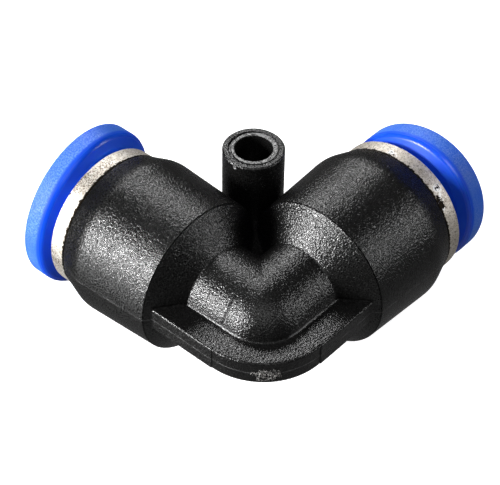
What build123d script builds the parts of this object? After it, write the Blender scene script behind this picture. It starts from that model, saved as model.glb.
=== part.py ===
from build123d import *
import os
from math import cos, hypot, radians, sqrt, tan

# Union elbow of the push-to-connect kind, for air tube, with a mounting hole in its inner corner.
#
# Frame: the origin lies on the mounting hole's axis, in the plane of the two port axes.
# +Z runs along the mounting hole. The right port opens towards +X and the left port towards +Y.
# A station is a distance along a port's axis, measured from the point where the two port axes
# cross. A radius is measured from that axis. All sizes are in millimetres.

# Driving dimensions
tube_diameter = 10.0
hole_to_port_axis = 12.4
plane_clearance = 0.05
match_tolerance = 0.01

# Elbow body, outside
neck_radius = 5.3
neck_end = 6.35
barrel_start = 9.15
barrel_start_radius = 9.0
shoulder = 18.8
shoulder_radius = 9.46
mouth = 21.7
mouth_radius = 8.5
bend_foot_round = 0.25
rib_thickness = 2.9
rib_offset = 8.15
rib_corner_radius = 8.05
rib_edge_round = 0.22
web_thickness = 1.6

# Elbow body, inside
passage_radius = 3.5
tube_stop = 7.0
socket_radius = tube_diameter / 2 + 0.06
chamber_start = 12.2
chamber_radius = 7.6

# Mounting boss in the inner corner
boss_radius = 3.5
boss_half_height = 8.7
boss_chamfer = 0.14
mounting_hole_radius = 2.15
hole_chamfer = 0.08
mark_outer_radius = 2.86
mark_inner_radius = 2.64
mark_offset = 0.16
mark_direction = -50.0
mark_depth = 0.2

# Tube seal
seal_end = 14.6
seal_bore_radius = tube_diameter / 2 + 0.05
seal_heel_radius = 5.75
seal_heel_length = 0.35
seal_groove_depth = 0.7
seal_groove_radius = 6.4
seal_lip_end = 13.15
seal_lip_round = 0.12

# Backup ring
backup_end = 17.55
backup_radius = 7.55
backup_bore_radius = tube_diameter / 2 + 0.1
backup_land_end = 15.35
backup_mouth_radius = 6.75
backup_chamfer = 0.2

# Lock claw
claw_thickness = 0.3
claw_radius = 7.5
claw_root_radius = 6.55
claw_tip_radius = 4.85
claw_angle = 35.0
claw_bend_offset = 0.1
claw_teeth = 10
claw_gap_width = 0.9
claw_gap_start = 4.35

# Guide ring
guide_start = backup_end + claw_thickness + 2 * plane_clearance
guide_sleeve_radius = chamber_radius - 0.02
guide_lead = 0.25
guide_end = 23.75
guide_head_radius = 8.47
guide_front_radius = 8.41
guide_back_round = 0.1
guide_front_round = 0.14
guide_relief_radius = 6.75
guide_land_start = 20.4
guide_land_end = 22.15
guide_barbs = 3
guide_barb_start = 0.5
guide_barb_pitch = 0.9
guide_barb_depth = 0.22

# Release collar: an oval flange on a round neck and a slotted sleeve.
# The flange's radii are given along its long and short axes, at its rim and at its back face.
collar_front = 27.85
collar_back_edge = 25.35
collar_back_face = 24.6
collar_rim_radii = (9.56, 8.27)
collar_back_radii = (8.2, 6.91)
collar_rim_round = 0.9
collar_front_round = 0.25
collar_turn = 125.0
collar_neck_start = 23.3
collar_neck_radius = 7.0
collar_sleeve_radius = 6.25
collar_bore_radius = tube_diameter / 2 + 0.1
collar_bead_radius = 6.62
collar_bead_length = 0.8
collar_bead_ramp = 0.75
collar_nose_radius = 5.85
collar_nose_drop = 0.1
collar_nose_taper = 0.35
collar_entry_depth = 0.9
collar_entry_round = 0.25
collar_slots = 4
collar_slot_width = 1.2
collar_slot_end = 22.2
running_clearance = 0.06

# How far a collar travels inwards before its nose meets the claw's teeth
collar_play = 0.45

elbow_centre = (-hole_to_port_axis, -hole_to_port_axis, 0.0)
port_frames = {
    "right": Location(elbow_centre),
    "left": Location(elbow_centre, (0, 0, 90)),
}


def rounded(outline, corners):
    """Round the outline's corners that lie at the given (station, radius) places."""
    for place, size in corners:
        corner = outline.vertices().sort_by_distance((place[0], place[1], 0))[0]
        outline = fillet(corner, size)
    return outline


def turned(points, corners=()):
    """Turn a closed outline of (station, radius) points about the port axis."""
    outline = Sketch() + make_face(Polyline(*points, close=True))
    return revolve(rounded(outline, corners), Axis.X)


def port_shell():
    """One port's outside: neck, cone, slightly growing barrel and flare down to the mouth."""
    points = [
        (0, 0),
        (0, neck_radius),
        (neck_end, neck_radius),
        (barrel_start, barrel_start_radius),
        (shoulder, shoulder_radius),
        (mouth, mouth_radius),
        (mouth, 0),
    ]
    corners = [
        ((neck_end, neck_radius), 0.25),
        ((barrel_start, barrel_start_radius), 0.22),
        ((shoulder, shoulder_radius), 4.0),
        ((mouth, mouth_radius), 0.2),
    ]
    return turned(points, corners)


def port_bore():
    """One port's inside: flow passage, tube socket, chamber for the rings."""
    points = [
        (0, 0),
        (0, passage_radius),
        (tube_stop, passage_radius),
        (tube_stop, socket_radius),
        (chamber_start, socket_radius),
        (chamber_start, chamber_radius),
        (mouth, chamber_radius),
        (mouth, 0),
    ]
    return turned(points)


def rib():
    """Flat rib in the plane of the port axes, round the outside of the bend."""
    reach = barrel_start + 0.4
    plate = Cylinder(rib_corner_radius, rib_thickness)
    plate += Pos(reach / 2, -rib_offset / 2, 0) * Box(reach, rib_offset, rib_thickness)
    plate += Pos(-rib_offset / 2, reach / 2, 0) * Box(rib_offset, reach, rib_thickness)
    plate -= Pos(reach / 2, reach / 2, 0) * Box(reach, reach, rib_thickness)
    rim = [
        edge
        for edge in plate.edges()
        if abs(abs(edge.center().Z) - rib_thickness / 2) < match_tolerance
        and min(edge.center().X, edge.center().Y) < -rib_offset / 2
    ]
    return fillet(rim, rib_edge_round)


def round_bend_foot(solid):
    """Blend the rib's two faces into the bend and the necks."""
    half = rib_thickness / 2
    foot = sqrt(neck_radius**2 - half**2)
    edges = []
    for edge in solid.edges():
        middle = (edge @ 0.5) - Vector(*elbow_centre)
        outward = hypot(min(middle.X, 0), min(middle.Y, 0))
        if max(abs(abs(middle.Z) - half), abs(outward - foot)) < match_tolerance:
            edges.append(edge)
    return fillet(edges, bend_foot_round)


def corner_web():
    """Web in the inner corner, between the neck, the two cones and the boss."""
    side = hole_to_port_axis
    return Pos(side / 2, side / 2, 0) * Box(side, side, web_thickness)


def boss():
    """Round boss for the mounting screw, before its hole is made."""
    solid = Cylinder(boss_radius, 2 * boss_half_height)
    return chamfer(solid.edges().filter_by(GeomType.CIRCLE), boss_chamfer)


def mounting_hole():
    """The screw's hole with its two chamfered mouths."""
    hole = Cylinder(mounting_hole_radius, 2 * boss_half_height)
    mouth_cone = Cone(mounting_hole_radius, mounting_hole_radius + hole_chamfer, hole_chamfer)
    mouth_height = boss_half_height - hole_chamfer / 2
    hole += Pos(0, 0, mouth_height) * mouth_cone
    hole += Pos(0, 0, -mouth_height) * Rot(180, 0, 0) * mouth_cone
    return hole


def pin_mark():
    """Shallow groove that the mould's pin leaves in the boss's upper face, wider on one side."""
    mark = Cylinder(mark_outer_radius, mark_depth)
    mark -= Rot(Z=mark_direction) * Pos(mark_offset, 0, 0) * Cylinder(mark_inner_radius, mark_depth)
    return Pos(0, 0, boss_half_height - mark_depth / 2) * mark


def elbow_body():
    """The moulded body: two ports, a rounded bend, rib, web and boss, less all the bores."""
    bend = Sphere(neck_radius) + rib() + corner_web()
    solid = boss() + Location(elbow_centre) * bend
    for frame in port_frames.values():
        solid += frame * port_shell()
    solid = round_bend_foot(solid)
    for frame in port_frames.values():
        solid -= frame * port_bore()
    solid -= Location(elbow_centre) * Sphere(passage_radius)
    return solid - mounting_hole() - pin_mark()


def tube_seal():
    """Rubber packing: a heel against the chamber's wall and a lip round the tube."""
    lip_start = chamber_start + seal_heel_length
    points = [
        (chamber_start, chamber_radius),
        (chamber_start, seal_groove_radius),
        (chamber_start + seal_groove_depth, seal_groove_radius),
        (chamber_start + seal_heel_length / 2, seal_heel_radius),
        (lip_start, seal_bore_radius),
        (seal_lip_end, seal_bore_radius),
        (seal_lip_end + seal_heel_length, seal_heel_radius),
        (seal_end, seal_heel_radius),
        (seal_end, chamber_radius),
    ]
    corners = [
        ((lip_start, seal_bore_radius), seal_lip_round),
        ((seal_lip_end, seal_bore_radius), seal_lip_round),
    ]
    return turned(points, corners)


def backup_ring():
    """Plastic ring that backs the seal and leaves a cone for the claw's teeth to bend into."""
    points = [
        (seal_end, backup_bore_radius),
        (seal_end, backup_radius - backup_chamfer),
        (seal_end + backup_chamfer, backup_radius),
        (backup_end, backup_radius),
        (backup_end, backup_mouth_radius),
        (backup_land_end, backup_bore_radius),
    ]
    return turned(points)


def lock_claw():
    """Spring washer whose teeth lean inwards, away from the mouth, and grip the tube."""
    rim_start = backup_end + plane_clearance
    drop = (claw_root_radius - claw_tip_radius) * tan(radians(claw_angle))
    slant = claw_thickness / cos(radians(claw_angle))
    points = [
        (rim_start, claw_radius),
        (rim_start, claw_root_radius),
        (rim_start - drop, claw_tip_radius),
        (rim_start - drop + slant, claw_tip_radius),
        (rim_start + claw_thickness, claw_root_radius - claw_bend_offset),
        (rim_start + claw_thickness, claw_radius),
    ]
    claw = turned(points)
    length = claw_root_radius - claw_gap_start
    depth = 2 * (drop + claw_thickness)
    gap = Pos(rim_start, 0, claw_gap_start + length / 2) * Box(depth, claw_gap_width, length)
    gap_end = Rot(0, 90, 0) * Cylinder(claw_gap_width / 2, depth)
    gap += Pos(rim_start, 0, claw_root_radius) * gap_end
    for index in range(claw_teeth):
        claw -= Rot(X=360 / claw_teeth * index) * gap
    return claw


def guide_ring():
    """Turned ring pressed into the barrel; its head shows between the body and the collar."""
    foot_radius = guide_sleeve_radius - guide_barb_depth
    first_barb = guide_start + guide_barb_start
    points = [(guide_start, guide_relief_radius), (guide_start, guide_sleeve_radius - guide_lead)]
    for index in range(guide_barbs):
        foot = first_barb + guide_barb_pitch * index
        points += [
            (foot, foot_radius),
            (foot + guide_barb_pitch * 0.75, guide_sleeve_radius),
            (foot + guide_barb_pitch * 0.9, guide_sleeve_radius),
        ]
    points += [
        (first_barb + guide_barb_pitch * guide_barbs, foot_radius),
        (mouth, foot_radius),
        (mouth, guide_head_radius),
        (guide_end, guide_front_radius),
        (guide_end, collar_neck_radius + running_clearance),
        (guide_land_end, collar_neck_radius + running_clearance),
        (guide_land_end, collar_sleeve_radius + running_clearance),
        (guide_land_start, collar_sleeve_radius + running_clearance),
        (guide_land_start, guide_relief_radius),
    ]
    corners = [
        ((mouth, guide_head_radius), guide_back_round),
        ((guide_end, guide_front_radius), guide_front_round),
    ]
    return turned(points, corners)


def oval(station, radii):
    """The flange's outline at a station, with its long axis along local Y."""
    return Plane.YZ.offset(station) * Ellipse(*radii)


def collar_flange():
    """Solid oval flange with a bevelled back and rounded edges."""
    rim = oval(collar_back_edge, collar_rim_radii)
    plate = extrude(rim, collar_front - collar_back_edge)
    bevel = loft([oval(collar_back_face, collar_back_radii), rim])
    flange = plate + bevel
    rims = flange.edges().filter_by(GeomType.ELLIPSE).sort_by(Axis.X)
    flange = fillet(rims[1], collar_rim_round)
    front_rim = flange.edges().filter_by(GeomType.ELLIPSE).sort_by(Axis.X)[-1]
    return fillet(front_rim, collar_front_round)


def collar_sleeve():
    """Round neck, sleeve, snap bead and the nose that opens the claw."""
    bead_end = guide_land_start - plane_clearance
    bead_start = bead_end - collar_bead_length
    claw_face = backup_end + plane_clearance + claw_thickness
    slope = tan(radians(claw_angle))
    claw_reach = claw_root_radius - claw_bend_offset - collar_bore_radius
    nose_tip = claw_face - claw_reach * slope + collar_play
    nose_shoulder = nose_tip + (collar_nose_radius - collar_bore_radius) * slope
    nose_side_radius = collar_sleeve_radius - collar_nose_drop
    points = [
        (nose_tip, collar_bore_radius),
        (nose_shoulder, collar_nose_radius),
        (nose_shoulder + collar_nose_taper, nose_side_radius),
        (bead_start - collar_bead_ramp, nose_side_radius),
        (bead_start, collar_bead_radius),
        (bead_end, collar_bead_radius),
        (bead_end, collar_sleeve_radius),
        (collar_neck_start, collar_sleeve_radius),
        (collar_neck_start, collar_neck_radius),
        (collar_back_edge, collar_neck_radius),
        (collar_back_edge, collar_bore_radius),
    ]
    sleeve = turned(points)
    slot_length = collar_slot_end - nose_tip + collar_slot_width
    slot_height = collar_bore_radius
    slot = Pos(collar_slot_end - slot_length / 2, 0, collar_bore_radius) * Box(
        slot_length, collar_slot_width, slot_height
    )
    slot_end = Cylinder(collar_slot_width / 2, slot_height)
    slot += Pos(collar_slot_end, 0, collar_bore_radius) * slot_end
    for index in range(collar_slots):
        sleeve -= Rot(X=360 / collar_slots * (index + 0.5)) * slot
    return sleeve


def collar_bore():
    """The tube's way in through the flange: a bore with a conical entry."""
    points = [
        (collar_neck_start, 0),
        (collar_neck_start, collar_bore_radius),
        (collar_front - collar_entry_depth, collar_bore_radius),
        (collar_front, collar_bore_radius + collar_entry_depth),
        (collar_front, 0),
    ]
    return turned(points)


def release_collar():
    """Push collar at the outer end of its stroke, turned as it rests in its port."""
    collar = collar_flange() + collar_sleeve() - collar_bore()
    front_edges = collar.edges().filter_by(GeomType.CIRCLE).sort_by(Axis.X)
    collar = fillet(front_edges[-1], collar_entry_round)
    return Rot(X=collar_turn) * collar


def write_node(name, solid):
    """Write one piece to its own STEP file."""
    export_step(solid, f"parts/{name}.step")


os.makedirs("parts", exist_ok=True)
write_node("elbow_body", elbow_body())
ring_makers = {
    "tube_seal": tube_seal,
    "backup_ring": backup_ring,
    "lock_claw": lock_claw,
    "guide_ring": guide_ring,
    "release_collar": release_collar,
}
for side, frame in port_frames.items():
    for name, make in ring_makers.items():
        write_node(f"{side}_{name}", frame * make())
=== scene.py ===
import math

import bmesh
import bpy
from mathutils import Matrix, Vector, noise


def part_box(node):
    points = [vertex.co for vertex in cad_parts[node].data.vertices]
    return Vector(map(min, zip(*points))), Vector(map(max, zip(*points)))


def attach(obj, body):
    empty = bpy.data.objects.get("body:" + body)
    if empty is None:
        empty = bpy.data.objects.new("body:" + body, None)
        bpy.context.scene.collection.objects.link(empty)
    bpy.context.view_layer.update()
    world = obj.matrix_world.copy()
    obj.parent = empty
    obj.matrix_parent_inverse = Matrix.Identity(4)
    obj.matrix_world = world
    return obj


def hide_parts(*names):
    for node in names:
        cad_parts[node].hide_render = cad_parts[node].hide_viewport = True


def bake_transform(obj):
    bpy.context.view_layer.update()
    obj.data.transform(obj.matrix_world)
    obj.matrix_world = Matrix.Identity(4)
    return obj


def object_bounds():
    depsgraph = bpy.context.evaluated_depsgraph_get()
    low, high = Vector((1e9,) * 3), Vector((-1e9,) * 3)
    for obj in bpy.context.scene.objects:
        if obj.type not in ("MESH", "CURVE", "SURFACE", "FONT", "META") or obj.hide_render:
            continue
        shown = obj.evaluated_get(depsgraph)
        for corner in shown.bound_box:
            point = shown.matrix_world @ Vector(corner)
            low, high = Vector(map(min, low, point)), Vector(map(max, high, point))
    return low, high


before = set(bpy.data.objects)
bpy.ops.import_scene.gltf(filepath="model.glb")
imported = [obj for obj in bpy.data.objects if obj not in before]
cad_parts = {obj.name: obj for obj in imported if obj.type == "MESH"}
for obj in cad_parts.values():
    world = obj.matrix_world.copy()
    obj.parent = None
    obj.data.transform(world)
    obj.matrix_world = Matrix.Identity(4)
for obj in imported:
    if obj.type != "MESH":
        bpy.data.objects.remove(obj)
cad_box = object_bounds()
scene = bpy.context.scene
MM = 0.001

# The port axes cross at the elbow's centre. A station is a distance along a port's axis from there.
centre_x = sum(corner.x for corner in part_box("left_guide_ring")) / 2
centre_y = sum(corner.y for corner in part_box("right_guide_ring")) / 2
ELBOW = Vector((centre_x, centre_y, 0))
PORTS = {"right": Vector((1, 0, 0)), "left": Vector((0, 1, 0))}
RIM_STATION = 25.35 * MM
MOUTH_STATION = 21.70 * MM
RING_RADIUS = 8.45 * MM


def port_point(side, station, radius, angle):
    """A point round a port's axis; its angle runs from +Z towards the elbow's outer side, in degrees."""
    outward = -PORTS["left" if side == "right" else "right"]
    turn = math.radians(angle)
    around = Vector((0, 0, 1)) * math.cos(turn) + outward * math.sin(turn)
    return ELBOW + PORTS[side] * station + around * radius


# ---------------------------------------------------------------- node helpers
class Nodes:
    """A material's node tree, with short calls for the nodes that the materials here use."""

    def __init__(self, name):
        self.material = bpy.data.materials.new(name)
        self.material.use_nodes = True
        self.tree = self.material.node_tree
        self.shader = self.tree.nodes["Principled BSDF"]
        self.position = self.make("ShaderNodeTexCoord").outputs["Object"]

    def make(self, kind, **settings):
        node = self.tree.nodes.new(kind)
        for key, value in settings.items():
            setattr(node, key, value)
        return node

    def put(self, socket, value):
        if isinstance(value, bpy.types.NodeSocket):
            self.tree.links.new(value, socket)
        else:
            socket.default_value = value

    def math(self, operation, *values):
        node = self.make("ShaderNodeMath", operation=operation)
        for socket, value in zip(node.inputs, values):
            self.put(socket, value)
        return node.outputs[0]

    def axis(self, index):
        node = self.make("ShaderNodeSeparateXYZ")
        self.put(node.inputs[0], self.position)
        return node.outputs[index]

    def along(self, side):
        """The station along one port's axis."""
        index = 0 if side == "right" else 1
        return self.math("SUBTRACT", self.axis(index), ELBOW[index])

    def times(self, *factors):
        """The product of several factors."""
        product = factors[0]
        for factor in factors[1:]:
            product = self.math("MULTIPLY", product, factor)
        return product

    def stretched(self, x, y, z):
        node = self.make("ShaderNodeVectorMath", operation="MULTIPLY")
        self.put(node.inputs[0], self.position)
        node.inputs[1].default_value = (x, y, z)
        return node.outputs[0]

    def noise(self, size, detail=2, rough=0.5, vector=None, distort=0.0):
        """Noise whose features are about size metres across, from 0 to 1."""
        node = self.make("ShaderNodeTexNoise")
        self.put(node.inputs["Vector"], vector or self.position)
        node.inputs["Scale"].default_value = 1 / size
        node.inputs["Detail"].default_value = detail
        node.inputs["Roughness"].default_value = rough
        node.inputs["Distortion"].default_value = distort
        return node.outputs["Fac"]

    def line(self, value, place, half_width):
        """1 where a value is at a place, 0 beyond a half width from it."""
        away = self.math("ABSOLUTE", self.math("SUBTRACT", value, place))
        return self.step(away, half_width, half_width * 0.4)

    def step(self, value, low, high):
        """0 at low and 1 at high, smooth in between and level beyond; low may be the larger."""
        node = self.make("ShaderNodeMapRange", interpolation_type="SMOOTHSTEP")
        self.put(node.inputs["Value"], value)
        node.inputs["From Min"].default_value = low
        node.inputs["From Max"].default_value = high
        return node.outputs["Result"]

    def scale(self, value, low, high, to_low, to_high):
        node = self.make("ShaderNodeMapRange")
        self.put(node.inputs["Value"], value)
        node.inputs["From Min"].default_value = low
        node.inputs["From Max"].default_value = high
        node.inputs["To Min"].default_value = to_low
        node.inputs["To Max"].default_value = to_high
        return node.outputs["Result"]

    def mix(self, factor, a, b):
        node = self.make("ShaderNodeMix", data_type="RGBA")
        self.put(node.inputs["Factor"], factor)
        self.put(node.inputs["A"], a)
        self.put(node.inputs["B"], b)
        return node.outputs["Result"]

    def distance(self, point):
        node = self.make("ShaderNodeVectorMath", operation="DISTANCE")
        self.put(node.inputs[0], self.position)
        node.inputs[1].default_value = point
        return node.outputs["Value"]

    def near(self, point, inner, outer):
        """1 within inner of a point, 0 beyond outer."""
        return self.step(self.distance(point), outer, inner)

    def most(self, *factors):
        """The largest of several factors."""
        top = factors[0]
        for factor in factors[1:]:
            top = self.math("MAXIMUM", top, factor)
        return top

    def rounded(self, radius):
        """The surface's normal with its sharp edges rounded to a radius."""
        node = self.make("ShaderNodeBevel", samples=6)
        self.put(node.inputs["Radius"], radius)
        return node.outputs["Normal"]

    def bump(self, height, strength, distance, normal=None):
        node = self.make("ShaderNodeBump")
        node.inputs["Strength"].default_value = strength
        node.inputs["Distance"].default_value = distance
        self.put(node.inputs["Height"], height)
        if normal is not None:
            self.put(node.inputs["Normal"], normal)
        return node.outputs["Normal"]


def grey(value, warm=0.0):
    return (value * (1 + warm), value, value * (1 - warm), 1.0)


# ---------------------------------------------------------------- materials
# Places on the body: stations along a port's axis, sides as x or y from the origin, the rib's top and
# the boss's face as heights from the port plane, and the paler land's radius round the hole.
BEND_STATION = 1.4 * MM
RIB_STATION = 6.0 * MM
BARREL_START = 9.15 * MM
SHOULDER_STATION = 18.0 * MM
BEND_SIDE = -17.4 * MM
RIB_SIDE = -20.5 * MM
RIB_TOP = 1.45 * MM
BOSS_FACE = 8.7 * MM
LAND_RADIUS = 2.65 * MM
# A chip under the boss's rim.
CHIP = Vector((-3.45, -0.31, 8.30)) * MM
# Worn patches and pits on the plated rings. Each is its station, its angle round the port, as in
# port_point, and its radius in millimetres.
WORN = {
    "right": [(22.3, -5, 0.5), (22.2, 46, 1.3), (22.0, 53, 0.9)],
    "left": [(23.1, 22, 2.6), (23.0, 93, 2.2), (22.6, 2, 1.5)],
}
PITS = {
    "right": [
        (22.37, -6, 0.14),
        (22.25, -3, 0.12),
        (22.8, 39, 0.22),
        (22.15, 46, 0.38),
        (22.0, 51, 0.50),
    ],
    "left": [(23.75, 37, 0.16)],
}


def body_places(n):
    """A point's distance from the port plane, the lesser of its x and y, and its station on either port."""
    height = n.math("ABSOLUTE", n.axis(2))
    outward = n.math("MINIMUM", n.axis(0), n.axis(1))
    station = n.math("MAXIMUM", n.along("right"), n.along("left"))
    return height, outward, station


def pale_marks_and_painted_highlight(n, colour, grain, sparkle, seam):
    """Lay the body's pale marks over its colour, and a painted highlight along the foot of the bend."""
    patches = n.noise(1.5 * MM, detail=3)
    height, outward, station = body_places(n)
    colour = n.mix(n.times(seam, n.step(patches, 0.28, 0.72), 0.6), colour, grey(0.22))
    # The land round the mounting hole is painted paler than the rest of the boss's face.
    from_hole = n.distance(Vector((0, 0, BOSS_FACE)))
    paler_land = n.times(
        n.step(from_hole, LAND_RADIUS + 0.05 * MM, LAND_RADIUS - 0.05 * MM),
        n.step(grain, 0.35, 0.60),
        n.step(n.axis(2), BOSS_FACE - 0.1 * MM, BOSS_FACE),
    )
    colour = n.mix(paler_land, colour, grey(0.30))
    # A thin pale line of painted highlight follows the foot of the bend on the rib, where its fillet
    # catches the light.
    painted_foot_highlight = n.times(
        n.line(height, RIB_TOP + 0.15 * MM, 0.11 * MM),
        n.step(station, 4.5 * MM, 1.0 * MM),
        n.step(outward, BEND_SIDE + 0.2 * MM, BEND_SIDE),
    )
    colour = n.mix(painted_foot_highlight, colour, grey(0.16))
    chip = n.times(n.near(CHIP, 0.10 * MM, 0.30 * MM), n.step(sparkle, 0.45, 0.50))
    return n.mix(chip, colour, grey(0.70))


def dull_marks(n):
    """1 where the body's surface throws back little light: its fine dark lines and the rib's corners."""
    height, outward, station = body_places(n)
    # A fine dark line runs where each cone meets its barrel.
    crease = n.line(station, BARREL_START, 0.10 * MM)
    # The hollows where the rib runs into the cones stay dark as well.
    hollow = n.times(
        n.step(height, RIB_TOP - 0.01 * MM, RIB_TOP + 0.02 * MM),
        n.step(height, RIB_TOP + 0.40 * MM, RIB_TOP + 0.25 * MM),
        n.step(station, RIB_STATION, RIB_STATION + 0.4 * MM),
        n.step(outward, RIB_SIDE - 0.1 * MM, RIB_SIDE + 0.1 * MM),
        n.step(station, BARREL_START - 0.05 * MM, BARREL_START - 0.15 * MM),
    )
    # A fainter line crosses the outer side of the left neck, where the bend begins.
    bend_start = n.times(
        n.line(n.along("left"), BEND_STATION, 0.20 * MM),
        n.step(n.along("right"), -2.5 * MM, -3.5 * MM),
        n.step(height, RIB_TOP + 0.25 * MM, RIB_TOP + 0.55 * MM),
        0.85,
    )
    return n.most(crease, hollow, bend_start)


def moulded_black():
    """Glass-filled black nylon: spark-eroded grain, faint cloudiness, a parting line, a chip, a paler land
    and a painted highlight.
    """
    n = Nodes("moulded_black")
    grain = n.noise(0.20 * MM)
    sparkle = n.noise(0.16 * MM, rough=0.6)
    cloud = n.noise(2.6 * MM, detail=3)
    height, outward, station = body_places(n)
    seam = n.times(
        n.step(height, 0.07 * MM, 0.03 * MM),
        n.step(outward, BEND_SIDE, BEND_SIDE - 0.3 * MM),
    )
    colour = n.mix(cloud, grey(0.002), grey(0.004, 0.02))
    colour = n.mix(n.step(sparkle, 0.52, 0.66), colour, grey(0.012, 0.02))
    n.put(n.shader.inputs["Base Color"], pale_marks_and_painted_highlight(n, colour, grain, sparkle, seam))
    n.put(n.shader.inputs["Roughness"], n.scale(sparkle, 0.35, 0.65, 0.31, 0.20))
    # The barrels' ends are darker than the rest: they throw back less light.
    barrel_end = n.step(station, SHOULDER_STATION, SHOULDER_STATION + 2.0 * MM)
    shine = n.times(
        n.scale(sparkle, 0.36, 0.64, 0.36, 0.84),
        n.scale(dull_marks(n), 0, 1, 1.0, 0.15),
        n.scale(barrel_end, 0, 1, 1.0, 0.38),
    )
    n.put(n.shader.inputs["Specular IOR Level"], shine)
    relief = n.bump(grain, 1.0, 0.09 * MM, n.rounded(0.12 * MM))
    relief = n.bump(seam, 0.5, 0.03 * MM, relief)
    n.put(n.shader.inputs["Normal"], relief)
    return n.material


def satin_blue(side):
    """Blue acetal: eroded on the rim and the front, smooth on the bevelled back, glossy between."""
    n = Nodes(f"satin_blue_{side}")
    station = n.along(side)
    band = n.step(station, RIM_STATION + 0.30 * MM, RIM_STATION + 0.75 * MM)
    crest = n.line(station, RIM_STATION - 0.02 * MM, 0.30 * MM)
    pebble = n.noise(0.17 * MM, detail=2, rough=0.6)
    patches = n.noise(4.0 * MM, detail=1)
    cloud = n.noise(3.5 * MM, detail=2)
    deep = n.mix(cloud, (0.007, 0.084, 0.73, 1), (0.010, 0.102, 0.83, 1))
    speckle = n.times(n.step(pebble, 0.40, 0.66), n.scale(patches, 0.35, 0.65, 0.25, 1.0))
    # The band is painted paler than the bevel: partly its frosted speckle, and partly painted light, as if
    # the band caught more of the lamps than the bevel.
    light = n.mix(speckle, (0.042, 0.168, 0.78, 1), (0.160, 0.315, 0.88, 1))
    n.put(n.shader.inputs["Base Color"], n.mix(band, deep, light))
    n.put(n.shader.inputs["Roughness"], n.scale(crest, 0, 1, 0.50, 0.20))
    crest_shine = 0.9 if side == "right" else 0.3
    n.put(n.shader.inputs["Specular IOR Level"], n.scale(crest, 0, 1, 0.2, crest_shine))
    n.shader.inputs["Subsurface Weight"].default_value = 0.5
    n.shader.inputs["Subsurface Radius"].default_value = (0.2, 0.4, 1.0)
    n.shader.inputs["Subsurface Scale"].default_value = 2.0 * MM
    n.put(n.shader.inputs["Normal"], n.bump(n.times(pebble, band), 1.0, 0.035 * MM))
    return n.material


def plated_ring(side):
    """Nickel plate over turned brass: sand, tool lines, brown patches, pits with painted glints, and
    painted shade along its ragged inner edge.
    """
    n = Nodes(f"plated_ring_{side}")
    lengthwise = (1, 0.03, 0.03) if side == "right" else (0.03, 1, 0.03)
    lines = n.noise(0.11 * MM, detail=3, rough=0.7, vector=n.stretched(*lengthwise))
    mottle = n.noise(0.55 * MM, detail=4, rough=0.65)
    sand = n.noise(0.17 * MM, detail=2, rough=0.6)
    pits = n.noise(0.34 * MM, detail=3, rough=0.7)
    pale = (0.94, 0.91, 0.86, 1) if side == "left" else (0.92, 0.87, 0.80, 1)
    colour = n.mix(n.step(mottle, 0.3, 0.7), (0.68, 0.62, 0.54, 1), pale)
    colour = n.mix(n.step(sand, 0.50, 0.68), colour, (0.32, 0.27, 0.21, 1))
    worn = [
        n.near(port_point(side, station * MM, RING_RADIUS, angle), 0.3 * size * MM, size * MM)
        for station, angle, size in WORN[side]
    ]
    stained = n.times(n.most(*worn), n.step(sand, 0.42, 0.60), 0.75)
    colour = n.mix(stained, colour, (0.20, 0.155, 0.11, 1))
    # Each pit has a ragged outline, and round it a painted glint: a near-white ring where a burr of bare
    # metal catches the light.
    holes, glint_rings = [], []
    for station, angle, size in PITS[side]:
        away = n.distance(port_point(side, station * MM, RING_RADIUS, angle))
        ragged = n.math("ADD", away, n.scale(pits, 0.3, 0.7, 0.30 * MM, -0.30 * MM))
        holes.append(n.step(ragged, (size + 0.04) * MM, (size - 0.04) * MM))
        glint_rings.append(n.step(ragged, (size + 0.30) * MM, (size + 0.20) * MM))
    painted_glints = n.times(n.most(*glint_rings), n.step(mottle, 0.42, 0.48))
    colour = n.mix(painted_glints, colour, (1.0, 0.99, 0.97, 1))
    # A ragged line of painted shade darkens the ring's inner edge, where it meets the body, and the pits
    # are darkened with it.
    ragged = n.math("ADD", n.along(side), n.scale(pits, 0.3, 0.7, 0.16 * MM, -0.16 * MM))
    painted_edge_shade = n.step(ragged, MOUTH_STATION + 0.30 * MM, MOUTH_STATION + 0.22 * MM)
    dark = n.most(painted_edge_shade, *holes)
    colour = n.mix(dark, colour, (0.018, 0.014, 0.010, 1))
    n.put(n.shader.inputs["Base Color"], colour)
    n.shader.inputs["Metallic"].default_value = 1.0
    n.put(n.shader.inputs["Roughness"], n.scale(mottle, 0.3, 0.7, 0.66, 0.52))
    relief = n.bump(lines, 0.35, 0.02 * MM)
    relief = n.bump(sand, 0.8, 0.03 * MM, relief)
    relief = n.bump(dark, 0.8, -0.06 * MM, relief)
    n.put(n.shader.inputs["Normal"], relief)
    return n.material


def rolled_steel():
    """Stainless strip of the claws: fine scratches and a slight straw tint."""
    n = Nodes("rolled_steel")
    scratch = n.noise(0.08 * MM, detail=3, vector=n.stretched(1, 1, 0.15))
    cloud = n.noise(1.2 * MM)
    n.put(n.shader.inputs["Base Color"], n.mix(cloud, (0.60, 0.59, 0.57, 1), (0.72, 0.70, 0.66, 1)))
    n.shader.inputs["Metallic"].default_value = 1.0
    n.put(n.shader.inputs["Roughness"], n.scale(scratch, 0.3, 0.7, 0.22, 0.38))
    n.put(n.shader.inputs["Normal"], n.bump(scratch, 0.25, 0.01 * MM))
    return n.material


def natural_acetal():
    """Uncoloured acetal of the backup rings: milky, faintly cloudy."""
    n = Nodes("natural_acetal")
    cloud = n.noise(1.5 * MM, detail=3)
    n.put(n.shader.inputs["Base Color"], n.mix(cloud, (0.74, 0.72, 0.66, 1), (0.84, 0.83, 0.79, 1)))
    n.put(n.shader.inputs["Roughness"], n.scale(cloud, 0.3, 0.7, 0.34, 0.46))
    n.put(n.shader.inputs["Normal"], n.bump(n.noise(0.15 * MM), 0.2, 0.02 * MM))
    return n.material


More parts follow.
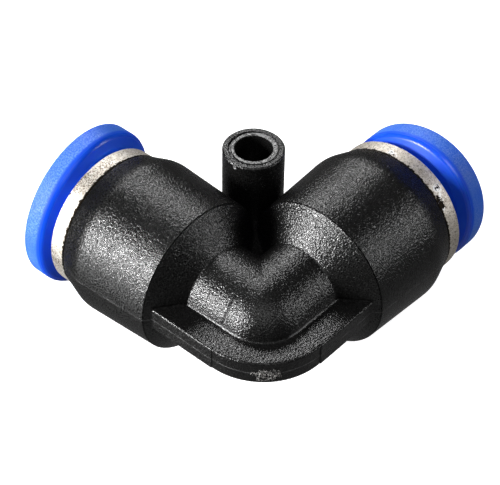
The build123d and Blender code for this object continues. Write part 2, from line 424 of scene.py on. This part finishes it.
def nitrile():
    """Black rubber of the seals, with a dusty bloom."""
    n = Nodes("nitrile")
    bloom = n.noise(0.9 * MM, detail=4)
    n.put(n.shader.inputs["Base Color"], n.mix(n.step(bloom, 0.4, 0.7), grey(0.016), grey(0.045, 0.03)))
    n.put(n.shader.inputs["Roughness"], n.scale(bloom, 0.3, 0.7, 0.55, 0.75))
    n.put(n.shader.inputs["Normal"], n.bump(n.noise(0.1 * MM), 0.3, 0.015 * MM))
    return n.material


def torn_gate():
    """Where the runner was broken off: black plastic whitened along the torn ridges."""
    n = Nodes("torn_gate")
    torn = n.noise(0.50 * MM, detail=2, rough=0.6, distort=1.5)
    ridges = n.line(torn, 0.51, 0.022)
    n.put(n.shader.inputs["Base Color"], n.mix(ridges, grey(0.006), grey(0.72, 0.03)))
    n.put(n.shader.inputs["Roughness"], n.scale(torn, 0.3, 0.7, 0.55, 0.75))
    n.shader.inputs["Specular IOR Level"].default_value = 0.25
    n.put(n.shader.inputs["Normal"], n.bump(torn, 1.0, 0.10 * MM))
    return n.material


def paint(obj, material):
    obj.data.materials.clear()
    obj.data.materials.append(material)


black, steel, acetal, rubber = moulded_black(), rolled_steel(), natural_acetal(), nitrile()
paint(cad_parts["elbow_body"], black)
for side in PORTS:
    paint(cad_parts[f"{side}_release_collar"], satin_blue(side))
    paint(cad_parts[f"{side}_guide_ring"], plated_ring(side))
    paint(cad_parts[f"{side}_backup_ring"], acetal)
    paint(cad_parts[f"{side}_tube_seal"], rubber)
    paint(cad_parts[f"{side}_lock_claw"], steel)


# ---------------------------------------------------------------- lock claws
# The collar's nose presses the teeth deeper, so in use each claw bends from its seat to its tooth tips.
CLAW_SEAT, CLAW_TIP = 17.65 * MM, 16.2 * MM
CLAW_CUTS = 5
WELD = 0.0001 * MM
SHARP = math.radians(30)


def claw_piece(side):
    """The CAD claw's own shape, cut across at a few stations between its seat and its tooth tips."""
    mesh = bmesh.new()
    mesh.from_mesh(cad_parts[f"{side}_lock_claw"].data)
    bmesh.ops.remove_doubles(mesh, verts=mesh.verts, dist=WELD)
    for cut in range(CLAW_CUTS):
        place = ELBOW + PORTS[side] * (CLAW_TIP + (CLAW_SEAT - CLAW_TIP) * (cut + 0.5) / CLAW_CUTS)
        whole = mesh.verts[:] + mesh.edges[:] + mesh.faces[:]
        bmesh.ops.bisect_plane(mesh, geom=whole, dist=WELD, plane_co=place, plane_no=PORTS[side])
    bmesh.ops.triangulate(mesh, faces=mesh.faces)
    for edge in mesh.edges:
        edge.smooth = edge.calc_face_angle(0) < SHARP
    for face in mesh.faces:
        face.smooth = True
    data = bpy.data.meshes.new(f"{side}_claw_teeth")
    mesh.to_mesh(data)
    mesh.free()
    piece = bpy.data.objects.new(f"{side}_claw_teeth", data)
    scene.collection.objects.link(piece)
    paint(piece, steel)
    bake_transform(piece)
    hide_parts(f"{side}_lock_claw")


for side in PORTS:
    claw_piece(side)


# ---------------------------------------------------------------- gate vestige
RIB_CORNER_RADIUS = 8.05 * MM
OUTERMOST_TURN = 225.0
GATE_HALF_TURN, GATE_LOW, GATE_HIGH = 14.0, -1.42 * MM, 0.80 * MM
GATE_PROUD, GATE_BURIED = 0.13 * MM, 0.12 * MM
GATE_COLUMNS, GATE_ROWS = 90, 48


def gate_height(across, up):
    """How far the torn surface stands proud of the rib; outside its ragged outline it is sunk."""
    spot = Vector((across * 2.4, up * 1.6, 0.7))
    outline = 0.72 - across ** 2 - up ** 2 + 0.55 * noise.noise(spot * 1.3)
    torn = noise.turbulence(spot * 2.2, 3, True)
    inside = min(1, max(0, outline * 4))
    return inside * (GATE_PROUD * (0.25 + 0.75 * torn) + GATE_BURIED) - GATE_BURIED


def gate_vestige():
    """A low torn patch at the rib's outermost point, closed by a back that lies inside the rib."""
    mesh = bmesh.new()
    layers = {}
    for layer in ("torn", "back"):
        for row in range(GATE_ROWS + 1):
            for column in range(GATE_COLUMNS + 1):
                across, up = 2 * column / GATE_COLUMNS - 1, 2 * row / GATE_ROWS - 1
                turn = math.radians(OUTERMOST_TURN + across * GATE_HALF_TURN)
                proud = gate_height(across, up) if layer == "torn" else -2 * GATE_BURIED
                spot = ELBOW + Vector((math.cos(turn), math.sin(turn), 0)) * (RIB_CORNER_RADIUS + proud)
                spot.z = GATE_LOW + (GATE_HIGH - GATE_LOW) * (up + 1) / 2
                layers[layer, row, column] = mesh.verts.new(spot)
        for row in range(GATE_ROWS):
            for column in range(GATE_COLUMNS):
                corners = [(row, column), (row, column + 1), (row + 1, column + 1), (row + 1, column)]
                mesh.faces.new([layers[layer, r, c] for r, c in corners])
    border = [edge for edge in mesh.edges if edge.is_boundary]
    bmesh.ops.bridge_loops(mesh, edges=border)
    bmesh.ops.recalc_face_normals(mesh, faces=mesh.faces)
    for face in mesh.faces:
        face.smooth = True
    data = bpy.data.meshes.new("gate_vestige")
    mesh.to_mesh(data)
    mesh.free()
    piece = bpy.data.objects.new("gate_vestige", data)
    scene.collection.objects.link(piece)
    paint(piece, torn_gate())
    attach(piece, "body")


gate_vestige()


# ---------------------------------------------------------------- stage, light and camera
def aim(obj, target, roll=0.0):
    """Turn an object's -Z axis towards the target, then roll it about its line of sight."""
    look = (target - obj.location).to_track_quat("-Z", "Y")
    obj.rotation_mode = "QUATERNION"
    obj.rotation_quaternion = look @ Matrix.Rotation(roll, 3, "Z").to_quaternion()


def direction(azimuth, elevation):
    """Unit vector; azimuth 0 is +Y and 90 is +X, in degrees."""
    a, e = math.radians(azimuth), math.radians(elevation)
    return Vector((math.sin(a) * math.cos(e), math.cos(a) * math.cos(e), math.sin(e)))


def softbox(name, azimuth, elevation, distance, width, height, watts):
    """A rectangular light that faces the elbow."""
    data = bpy.data.lights.new(name, "AREA")
    data.shape, data.size, data.size_y = "RECTANGLE", width, height
    data.energy = watts
    lamp = bpy.data.objects.new(name, data)
    scene.collection.objects.link(lamp)
    lamp.location = ELBOW + direction(azimuth, elevation) * distance
    aim(lamp, ELBOW)


# Each light: its azimuth and elevation, its distance, its width and height, and its watts.
softbox("key", -60, 19, 0.40, 0.11, 0.10, 2.7)
softbox("front", -140, 52, 0.45, 0.26, 0.26, 0.32)
softbox("back", 36, 41, 0.45, 0.15, 0.08, 0.80)
softbox("top", -20, 80, 0.50, 0.20, 0.20, 0.06)
softbox("right_fill", 140, 24, 0.45, 0.11, 0.10, 0.46)
softbox("low_left", -60, -16, 0.40, 0.20, 0.12, 0.35)

world = bpy.data.worlds.new("studio")
scene.world = world
world.use_nodes = True
sky = world.node_tree.nodes["Background"]
sky.inputs["Color"].default_value = (1, 1, 1, 1)
# The studio is dim above and paler below, where the white floor throws light back up.
facing = world.node_tree.nodes.new("ShaderNodeSeparateXYZ")
fade = world.node_tree.nodes.new("ShaderNodeMapRange")
for name, number in {"From Min": -0.6, "From Max": 0.2, "To Min": 0.15, "To Max": 0.045}.items():
    fade.inputs[name].default_value = number
sight = world.node_tree.nodes.new("ShaderNodeTexCoord")
world.node_tree.links.new(sight.outputs["Generated"], facing.inputs[0])
world.node_tree.links.new(facing.outputs["Z"], fade.inputs["Value"])
world.node_tree.links.new(fade.outputs["Result"], sky.inputs["Strength"])


def staged(name, mesh, material):
    """A piece of the studio: seen by the camera, and left out of reflections and bounced light."""
    data = bpy.data.meshes.new(name)
    mesh.to_mesh(data)
    mesh.free()
    obj = bpy.data.objects.new(name, data)
    scene.collection.objects.link(obj)
    paint(obj, material)
    obj.visible_glossy = obj.visible_diffuse = obj.visible_shadow = False
    return obj


def pale(name, glow):
    """A nearly white material that gives off light of its own, for the studio."""
    n = Nodes(name)
    n.put(n.shader.inputs["Base Color"], n.mix(n.noise(0.05), grey(0.78), grey(0.82)))
    n.shader.inputs["Roughness"].default_value = 0.9
    n.shader.inputs["Emission Color"].default_value = (1, 1, 1, 1)
    n.shader.inputs["Emission Strength"].default_value = glow
    return n.material


disc = bmesh.new()
bmesh.ops.create_circle(disc, cap_ends=True, segments=96, radius=1.2)
floor = staged("floor", disc, pale("floor_white", 0.93))
floor.location = (0, 0, cad_box[0].z - 0.05 * MM)
dome = bmesh.new()
bmesh.ops.create_uvsphere(dome, u_segments=48, v_segments=24, radius=1.3)
staged("backdrop", dome, pale("backdrop_white", 1.0))

# The camera looks from the photograph's viewing angle. The distance is in millimetres.
SIGHT_AZIMUTH, SIGHT_ELEVATION, CAMERA_ROLL = 49.168, -44.115, 1.036
CAMERA_DISTANCE = 197.71
camera = bpy.data.objects.new("camera", bpy.data.cameras.new("camera"))
scene.collection.objects.link(camera)
scene.camera = camera
camera.data.lens = 127.74
camera.data.sensor_width = 36
camera.data.clip_start, camera.data.clip_end = 0.01, 10
target = Vector((-4.70, -3.77, 0)) * MM
camera.location = target - direction(SIGHT_AZIMUTH, SIGHT_ELEVATION) * CAMERA_DISTANCE * MM
aim(camera, target, math.radians(CAMERA_ROLL))
scene.view_settings.view_transform = "Standard"
